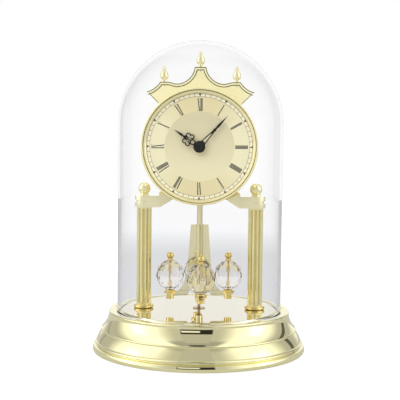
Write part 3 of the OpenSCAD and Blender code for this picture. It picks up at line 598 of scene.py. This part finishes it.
def dial_ring(bm, r0, r1, z0=0.0, z1=INK):
    """A flat ring on the dial's face, in millimetres."""
    lathe_into(bm, scaled([(r0, z0), (r1, z0), (r1, z1), (r0, z1)]), on_dial, steps=240)


def dial_shape(bm, outline, hours, z1=INK):
    """An outline drawn upright at twelve o'clock, turned to its hour."""
    turn = Matrix.Rotation(-math.radians(30 * hours), 4, "Z")
    prism_into(bm, scaled(outline), 0.0, z1 * MM, on_dial @ turn)


def stroke(x0, x1, w):
    """A straight stroke from x0 at the numeral's foot to x1 at its top, w wide."""
    return [(x0 - w / 2, NUMERAL_IN), (x0 + w / 2, NUMERAL_IN),
            (x1 + w / 2, NUMERAL_OUT), (x1 - w / 2, NUMERAL_OUT)]


def serif(x0, x1, y):
    """A thin bar across the end of a letter."""
    x0, x1 = x0 - SERIF_OVERHANG, x1 + SERIF_OVERHANG
    return [(x0, y - SERIF_HALF), (x1, y - SERIF_HALF), (x1, y + SERIF_HALF), (x0, y + SERIF_HALF)]


def numeral(letters):
    """Strokes of a Roman numeral, centred on x = 0, feet towards the dial's centre."""
    total = sum(LETTER_WIDTH[c] for c in letters) + GAP * (len(letters) - 1)
    shapes, x = [], -total / 2
    for c in letters:
        w = LETTER_WIDTH[c]
        middle = x + w / 2
        if c == "I":
            shapes.append(stroke(middle, middle, THICK))
        if c == "V":
            shapes.append(stroke(middle + V_FOOT, x + THICK / 2, THICK))
            shapes.append(stroke(middle + V_FOOT, x + w - THIN / 2, THIN))
        if c == "X":
            shapes.append(stroke(x + w - THICK / 2, x + THICK / 2, THICK))
            shapes.append(stroke(x + THIN / 2, x + w - THIN / 2, THIN))
        if c != "V":
            shapes.append(serif(x, x + w, NUMERAL_IN))
        shapes.append(serif(x, x + w, NUMERAL_OUT))
        x += w + GAP
    return shapes


bm = bmesh.new()
for hour, letters in enumerate(HOURS):
    for k, shape in enumerate(numeral(letters)):
        dial_shape(bm, shape, hour, INK - INK_STEP * (k % 5))
for r in (TRACK_IN, TRACK_OUT):
    dial_ring(bm, r - TRACK_LINE_HALF, r + TRACK_LINE_HALF)
for minute in range(60):
    dial_shape(bm, [(-MINUTE_HALF, TRACK_IN), (MINUTE_HALF, TRACK_IN),
                    (MINUTE_HALF, TRACK_OUT), (-MINUTE_HALF, TRACK_OUT)], minute / 5, INK * 0.9)
for hour in range(12):
    dial_shape(bm, [(0, TRACK_IN + 0.2), (HOUR_MARK_HALF, TRACK_OUT + 0.1),
                    (-HOUR_MARK_HALF, TRACK_OUT + 0.1)], hour, INK * 1.2)
new_piece("dial_print", "stand", bm, print_and_shade_black)

bm = bmesh.new()
dial_ring(bm, TRACK_IN, TRACK_OUT, 0.0, INK * 0.4)
new_piece("dial_track_ground", "stand", bm, ink_pale)


# ---------------------------------------------------------------- bezel

# Radii and heights in millimetres. The shade reaches a little into the groove's walls and floor.
GROOVE_IN, GROOVE_OUT, GROOVE_FLOOR = 39.75, 40.05, 0.9
SHADE_IN, SHADE_OUT, SHADE_LOW, SHADE_HIGH = 39.72, 40.08, 0.88, 1.3


def bezel_outline():
    """The bezel's section: radius, and height in front of the dial's face."""
    r, back, front = bezel_r / MM, (dial_y - bezel_high.y) / MM, (dial_y - bezel_low.y) / MM
    seat_r = r - 1.65
    inner_lip = [(37.7, 0.0), (37.7, 0.35), (38.2, 0.8), (39.65, 1.5)]
    groove = [(GROOVE_IN, GROOVE_FLOOR), (GROOVE_OUT, GROOVE_FLOOR)]
    return ([(seat_r, back), (seat_r, 0.0)] + inner_lip + groove
            + arc((r - 0.6, front - 0.6), 0.6, 160, 0, 14) + [(r, back + 1.6), (r - 0.5, back)])


bm = bmesh.new()
lathe_into(bm, scaled(rounded(bezel_outline(), r=0.12, n=2)), on_dial, steps=256)
ring = new_piece("bezel_ring", "stand", bm, by_slot["bezel_brass"], 32)
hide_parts("bezel")

bm = bmesh.new()
dial_ring(bm, SHADE_IN, SHADE_OUT, SHADE_LOW, SHADE_HIGH)
new_piece("bezel_groove_shade", "stand", bm, groove_shade)


# ---------------------------------------------------------------- pediment lines: painted shade and dark reflection

def pediment_edge():
    """Right half of the pediment's top edge in millimetres, from its crest to its outer point."""
    crest, shoulder, sweep = 56.1, 45.55, 13.15
    dip = crest + 1.3 - sweep
    wave = [(16.3 + 6.8 * i / 6,
             dip + (shoulder - dip) * (1 - math.cos(math.radians(30 * i))) / 2)
            for i in range(1, 7)]
    return ([(4.05, crest)] + arc((17.2, crest + 1.3), sweep, 186, 266, 14) + wave
            + [(28.4, shoulder)] + arc((42.4, shoulder + 8.8), 16.5, 214, 254, 10))


def shifted(path, d):
    """An open path moved d to its right, with mitred corners."""
    out = []
    for i, p in enumerate(path):
        sides = []
        for a, b in ((i - 1, i), (i, i + 1)):
            if a >= 0 and b < len(path):
                step = (Vector(path[b]) - Vector(path[a])).normalized()
                sides.append(Vector((step.y, -step.x)))
        mid = sum(sides, Vector((0, 0))).normalized()
        out.append(tuple(Vector(p) + mid * (d / max(0.4, mid.dot(sides[0])))))
    return out


def line_into(bm, path, d0, d1, z0, z1):
    """A flat strip between two offsets of a path, as one closed solid.

    z0 and z1 are heights over the pediment's front, in millimetres.
    """
    sides = [scaled(shifted(path, d)) for d in (d0, d1)]
    rows = [[bm.verts.new(on_dial @ Vector((x, y, (pediment_front + z) * MM))) for x, y in side]
            for side in sides for z in (z0, z1)]
    ring = [rows[0], rows[1], rows[3], rows[2]]
    for a, b in zip(ring, ring[1:] + ring[:1]):
        for i in range(len(path) - 1):
            bm.faces.new((a[i], a[i + 1], b[i + 1], b[i]))
    for end in (0, -1):
        bm.faces.new([row[end] for row in ring])


half_edge = pediment_edge()
top_edge = [(-x, y) for x, y in reversed(half_edge)] + half_edge
right_diagonal = [(38, 38.5), (29.9, 30.4)]
left_diagonal = [(-x, y) for x, y in reversed(right_diagonal)]
bm = bmesh.new()
line_into(bm, top_edge, 1.84, 2.34, -0.72, -0.5)        # painted shade, in the groove along the edge
line_into(bm, top_edge, 0.1, 0.62, -0.1, 0.03)          # painted shade and dark reflection, on the edge itself
# Painted shade along the slanted ends.
for diagonal in (right_diagonal, left_diagonal):
    line_into(bm, diagonal, 0.22, 0.6, -0.66, -0.56)
new_piece("pediment_shade_lines", "stand", bm, print_and_shade_black)


# ---------------------------------------------------------------- crystal balls

BALL_R = 9.9            # mm
BALL_BORE_R = 0.65      # mm
BALL_SPREAD = 1.05      # the facets' corners stand a little proud of the CAD ball
BALL_SIDES = 12
# Each row of corners: its share of the ball's radius and height, and whether it is staggered.
BALL_ROWS = [(0.30, 0.0, 0), (0.60, 0.09, 1), (0.86, 0.24, 0), (1.0, 0.5, 1), (0.86, 0.76, 0),
             (0.60, 0.91, 1), (0.30, 1.0, 0)]
CUP_MIN_POINTS = 20     # fewer points than this aren't a cup


def orb_centres():
    """The four balls' axes, from the mesh of the cups: its points are grouped by the side of
    the clock they lie on, and each axis is the middle of its group's box."""
    groups = {}
    for v in nodes["orb_cups"].data.vertices:
        p = v.co
        quadrant = (p.x > abs(p.y), p.y > abs(p.x), -p.x > abs(p.y), -p.y > abs(p.x))
        groups.setdefault(quadrant, []).append(p)
    centres = []
    for points in groups.values():
        low = Vector((min(p.x for p in points), min(p.y for p in points), 0))
        high = Vector((max(p.x for p in points), max(p.y for p in points), 0))
        if len(points) > CUP_MIN_POINTS:
            centres.append((low + high) / 2)
    return centres


def cut_ball_into(bm, centre, r, z0, h, bore):
    """A cut ball: staggered rows of tall facets, bored along its axis."""
    half = math.pi / BALL_SIDES
    rows = [(bore, 0.0, 0)] + [(r * a, h * b, half * c) for a, b, c in BALL_ROWS] + [(bore, h, 0)]
    rings = []
    for radius, z, turn in rows:
        angles = [2 * math.pi * i / BALL_SIDES + turn for i in range(BALL_SIDES)]
        rings.append([bm.verts.new((centre.x + radius * math.cos(t),
                                    centre.y + radius * math.sin(t), z0 + z)) for t in angles])
    turns = [row[2] for row in rows]
    for a, b, ta, tb in zip(rings, rings[1:] + rings[:1], turns, turns[1:] + turns[:1]):
        for i in range(BALL_SIDES):
            j = (i + 1) % BALL_SIDES
            if ta == tb:
                bm.faces.new((a[i], a[j], b[j], b[i]))
            elif tb > ta:
                bm.faces.new((a[i], a[j], b[i]))
                bm.faces.new((a[j], b[j], b[i]))
            else:
                bm.faces.new((a[i], b[j], b[i]))
                bm.faces.new((a[i], a[j], b[j]))


bm = bmesh.new()
for centre in orb_centres():
    cut_ball_into(bm, centre, BALL_R * MM * BALL_SPREAD, orb_low.z, orb_high.z - orb_low.z,
                  BALL_BORE_R * MM)
orbs = new_piece("cut_crystal_balls", "pendulum", bm, by_slot["crystal"])
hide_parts("crystal_orbs")


# ---------------------------------------------------------------- studio

scene = bpy.context.scene


def studio_world():
    """White to the camera, also through glass. In reflections it is a pale room with brighter
    flanks, a grey wall in front with dark openings, and two dark stands behind the sides."""
    scene.world = bpy.data.worlds.new("studio")
    g = Graph(scene.world, "ShaderNodeOutputWorld")
    x, y, z = g.split(g.add("ShaderNodeTexCoord").outputs["Generated"])
    turn = g.math("ARCTAN2", x, g.times(y, -1.0))       # 0 is in front of the dial
    side = g.math("ABSOLUTE", turn)
    up = g.math("ARCSINE", z)
    path = g.add("ShaderNodeLightPath").outputs

    def ramp(value, low, high, to_low, to_high):
        return g.band(value, low, high, to_low, to_high, interpolation_type="SMOOTHSTEP")

    def deg(value, low, high, to_low=0.0, to_high=1.0):
        return ramp(value, math.radians(low), math.radians(high), to_low, to_high)

    def panel(a, a0, a1, b0, b1, edge):
        """1 inside a rectangle of azimuth a and elevation, with soft edges."""
        sides = g.times(deg(a, a0 - edge, a0 + edge), deg(a, a1 - edge, a1 + edge, 1.0, 0.0))
        ends = g.times(deg(up, b0 - edge, b0 + edge), deg(up, b1 - edge, b1 + edge, 1.0, 0.0))
        return g.times(sides, ends)

    def paint(under, share, value):
        return g.add("ShaderNodeMix", {0: share, 2: under, 3: value},
                     data_type="FLOAT").outputs[0]

    room = g.plus(g.times(deg(side, 26, 62), 0.72), 0.60)
    room = g.math("SUBTRACT", room, g.times(deg(side, 94, 122), 0.80))
    room = g.plus(room, g.times(deg(side, 142, 156), 0.50))
    # The openings are less dark from inside the dome.
    opening = ramp(path["Transmission Depth"], 0.0, 1.0, 0.03, 0.34)
    # Azimuth, elevation and soft edge of each panel in degrees, and its brightness.
    for a, a0, a1, b0, b1, edge, value in (
            (side, 68, 90, -60, 30, 6, 1.9),
            (side, -8, 46, 52, 90, 7, 0.42),
            (side, -5, 20, -85, 60, 1, 0.54),
            (side, -5, 20, 3, 22, 1, opening),
            (turn, -19, 4, 8, 15, 1, 0.95),
            (side, -5, 20, 69, 89, 1, opening),
            (turn, 127, 134, -40, 35, 1, 0.12),
            (turn, -139, -136, -40, 35, 1, 0.35)):
        room = paint(room, panel(a, a0, a1, b0, b1, edge), value)
    # Seen straight through the dome, or through several of the balls' facets, it is nearly white.
    straight = g.math("LESS_THAN", path["Glossy Depth"], 0.5)
    through_balls = g.math("GREATER_THAN", path["Transmission Depth"], 5.5)
    seen_through = g.times(path["Is Transmission Ray"], g.math("MAXIMUM", straight, through_balls))
    room = paint(room, seen_through, 0.96)
    strength = paint(room, path["Is Camera Ray"], 1.0)
    g.close(g.add("ShaderNodeBackground", {"Color": (1, 1, 1, 1), "Strength": strength}))


def add_softbox(azimuth, elevation, distance, size, power):
    """A square area light aimed at the middle of the clock, which only lights and isn't seen."""
    light = bpy.data.lights.new("softbox_top", "AREA")
    light.shape = "RECTANGLE"
    light.size = light.size_y = size
    light.energy = power
    light.color = (1.0, 0.99, 0.97)
    obj = bpy.data.objects.new("softbox_top", light)
    scene.collection.objects.link(obj)
    a, e = math.radians(azimuth), math.radians(elevation)
    aim = Vector((0, 0, 0.11))
    back = Vector((math.sin(a) * math.cos(e), -math.cos(a) * math.cos(e), math.sin(e)))
    obj.location = aim + back * distance
    obj.rotation_euler = back.to_track_quat("Z", "Y").to_euler()
    obj.visible_glossy = False
    obj.visible_transmission = False
    obj.visible_camera = False


def floor_material():
    """White paper that glows a little, more so to the camera and seen through the dome."""
    g = material("floor_white")
    paper = g.mix(g.noise(0.01, 2), rgb(0.42, 0.42, 0.42), rgb(0.44, 0.44, 0.44))
    reach = g.add("ShaderNodeVectorMath", {0: g.place()}, operation="LENGTH").outputs["Value"]
    path = g.add("ShaderNodeLightPath").outputs
    seen_through = g.times(path["Is Transmission Ray"],
                           g.math("LESS_THAN", path["Glossy Depth"], 0.5))
    through = g.times(seen_through, g.band(reach, 560, 860, 0.15, 0.39))
    glow = g.plus(g.math("MAXIMUM", g.times(path["Is Camera Ray"], 0.7), through), 0.16)
    return g.surface({"Base Color": paper, "Roughness": 0.8, "Specular IOR Level": 0.1,
                      "Emission Color": rgb(1, 1, 1), "Emission Strength": glow})


def add_floor(radius, top, bottom):
    bm = bmesh.new()
    lathe_into(bm, [(0, top), (radius, top), (radius, bottom), (0, bottom)], upright, steps=96)
    mesh = to_mesh(bm, "floor")
    mesh.materials.append(floor_material())
    floor = bpy.data.objects.new("floor", mesh)
    scene.collection.objects.link(floor)


def add_camera(azimuth, pitch, roll, distance, height, lens):
    """A camera at a distance from the clock's axis and a height over the floor, in metres.

    It stands at azimuth, looks down by pitch and is rolled by roll, all in degrees.
    """
    data = bpy.data.cameras.new("camera")
    data.sensor_width = 36.0
    data.lens = lens
    data.clip_start = 0.05
    camera = bpy.data.objects.new("camera", data)
    scene.collection.objects.link(camera)
    azimuth, pitch, roll = math.radians(azimuth), math.radians(pitch), math.radians(roll)
    back = Vector((math.sin(azimuth), -math.cos(azimuth), 0))
    ahead = (-back * math.cos(pitch) - Vector((0, 0, math.sin(pitch)))).normalized()
    right = Vector((math.cos(azimuth), math.sin(azimuth), 0))
    above = right.cross(ahead)
    x_axis = right * math.cos(roll) + above * math.sin(roll)
    y_axis = above * math.cos(roll) - right * math.sin(roll)
    turn = Matrix((x_axis, y_axis, -ahead)).transposed().to_4x4()
    camera.matrix_world = Matrix.Translation(back * distance + Vector((0, 0, height))) @ turn
    scene.camera = camera


studio_world()
add_softbox(azimuth=-25, elevation=40, distance=1.3, size=0.9, power=9.0)
add_floor(radius=1.6, top=-0.0005, bottom=-0.004)
add_camera(azimuth=2.5, pitch=4.07, roll=0.6, distance=0.70735, height=0.159, lens=88.0)
scene.view_settings.view_transform = "Standard"
scene.view_settings.look = "None"
